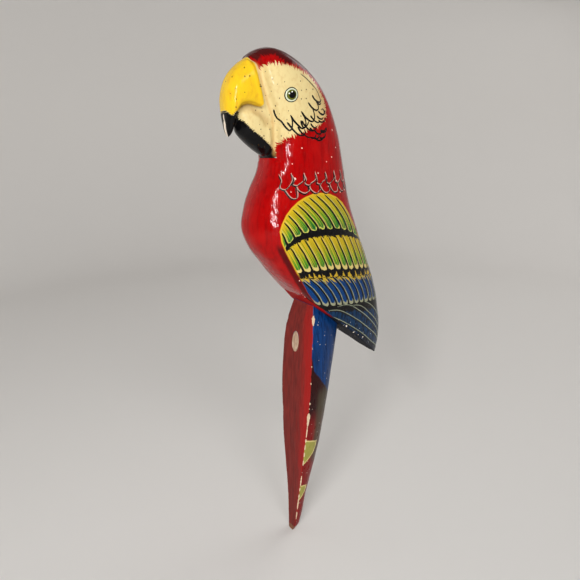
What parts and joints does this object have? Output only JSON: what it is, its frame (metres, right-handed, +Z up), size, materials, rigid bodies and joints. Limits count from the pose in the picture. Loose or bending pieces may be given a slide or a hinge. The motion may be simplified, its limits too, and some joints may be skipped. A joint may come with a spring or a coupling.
{
  "type": "carved macaw maraca",
  "caption": "Hollow carved wooden hand rattle shaped as a perched macaw, with loose seeds inside and its long tail as the handle.",
  "frame": {"origin": "centre of the small worn flat at the tip of the tail", "axes": "+Z up along the bird from tail tip to crown, the beak faces -Y, +X is the bird's left wing, and X = 0 is the glue line"},
  "size_m": [0.0636, 0.1584, 0.4443],
  "materials": {
    "painted_wood": "hand-painted light wood under a glossy clear varnish",
    "bare_wood": "unpainted hardwood dowel, matt end grain",
    "seed": "dry hard seed, dull"
  },
  "bodies": {
    "carved_body": {"shell_left": "painted_wood", "shell_right": "painted_wood", "tail_handle": "painted_wood", "tail_peg": "bare_wood", "dowel_head": "bare_wood", "dowel_breast": "bare_wood", "dowel_back": "bare_wood", "dowel_rump": "bare_wood"},
    "seed_1_body": {"seed_1": "seed"},
    "seed_2_body": {"seed_2": "seed"},
    "seed_3_body": {"seed_3": "seed"},
    "seed_4_body": {"seed_4": "seed"},
    "seed_5_body": {"seed_5": "seed"},
    "seed_6_body": {"seed_6": "seed"},
    "seed_7_body": {"seed_7": "seed"},
    "seed_8_body": {"seed_8": "seed"},
    "seed_9_body": {"seed_9": "seed"},
    "seed_10_body": {"seed_10": "seed"},
    "seed_11_body": {"seed_11": "seed"},
    "seed_12_body": {"seed_12": "seed"}
  },
  "joints": [
    {"name": "seed_1_rattle", "type": "slide", "parent": "carved_body", "child": "seed_1_body", "axis": [0, 0, 1], "range_m": [0, 0.07]},
    {"name": "seed_2_rattle", "type": "slide", "parent": "carved_body", "child": "seed_2_body", "axis": [0, 0, 1], "range_m": [0, 0.073]},
    {"name": "seed_3_rattle", "type": "slide", "parent": "carved_body", "child": "seed_3_body", "axis": [0, 0, 1], "range_m": [0, 0.07]},
    {"name": "seed_4_rattle", "type": "slide", "parent": "carved_body", "child": "seed_4_body", "axis": [0, 0, 1], "range_m": [0, 0.072]},
    {"name": "seed_5_rattle", "type": "slide", "parent": "carved_body", "child": "seed_5_body", "axis": [0, 0, 1], "range_m": [0, 0.077]},
    {"name": "seed_6_rattle", "type": "slide", "parent": "carved_body", "child": "seed_6_body", "axis": [0, 0, 1], "range_m": [0, 0.072]},
    {"name": "seed_7_rattle", "type": "slide", "parent": "carved_body", "child": "seed_7_body", "axis": [0, 0, 1], "range_m": [0, 0.072]},
    {"name": "seed_8_rattle", "type": "slide", "parent": "carved_body", "child": "seed_8_body", "axis": [0, 0, 1], "range_m": [0, 0.077]},
    {"name": "seed_9_rattle", "type": "slide", "parent": "carved_body", "child": "seed_9_body", "axis": [0, 0, 1], "range_m": [0, 0.072]},
    {"name": "seed_10_rattle", "type": "slide", "parent": "carved_body", "child": "seed_10_body", "axis": [0, 0, 1], "range_m": [0, 0.07]},
    {"name": "seed_11_rattle", "type": "slide", "parent": "carved_body", "child": "seed_11_body", "axis": [0, 0, 1], "range_m": [0, 0.073]},
    {"name": "seed_12_rattle", "type": "slide", "parent": "carved_body", "child": "seed_12_body", "axis": [0, 0, 1], "range_m": [0, 0.07]}
  ]
}
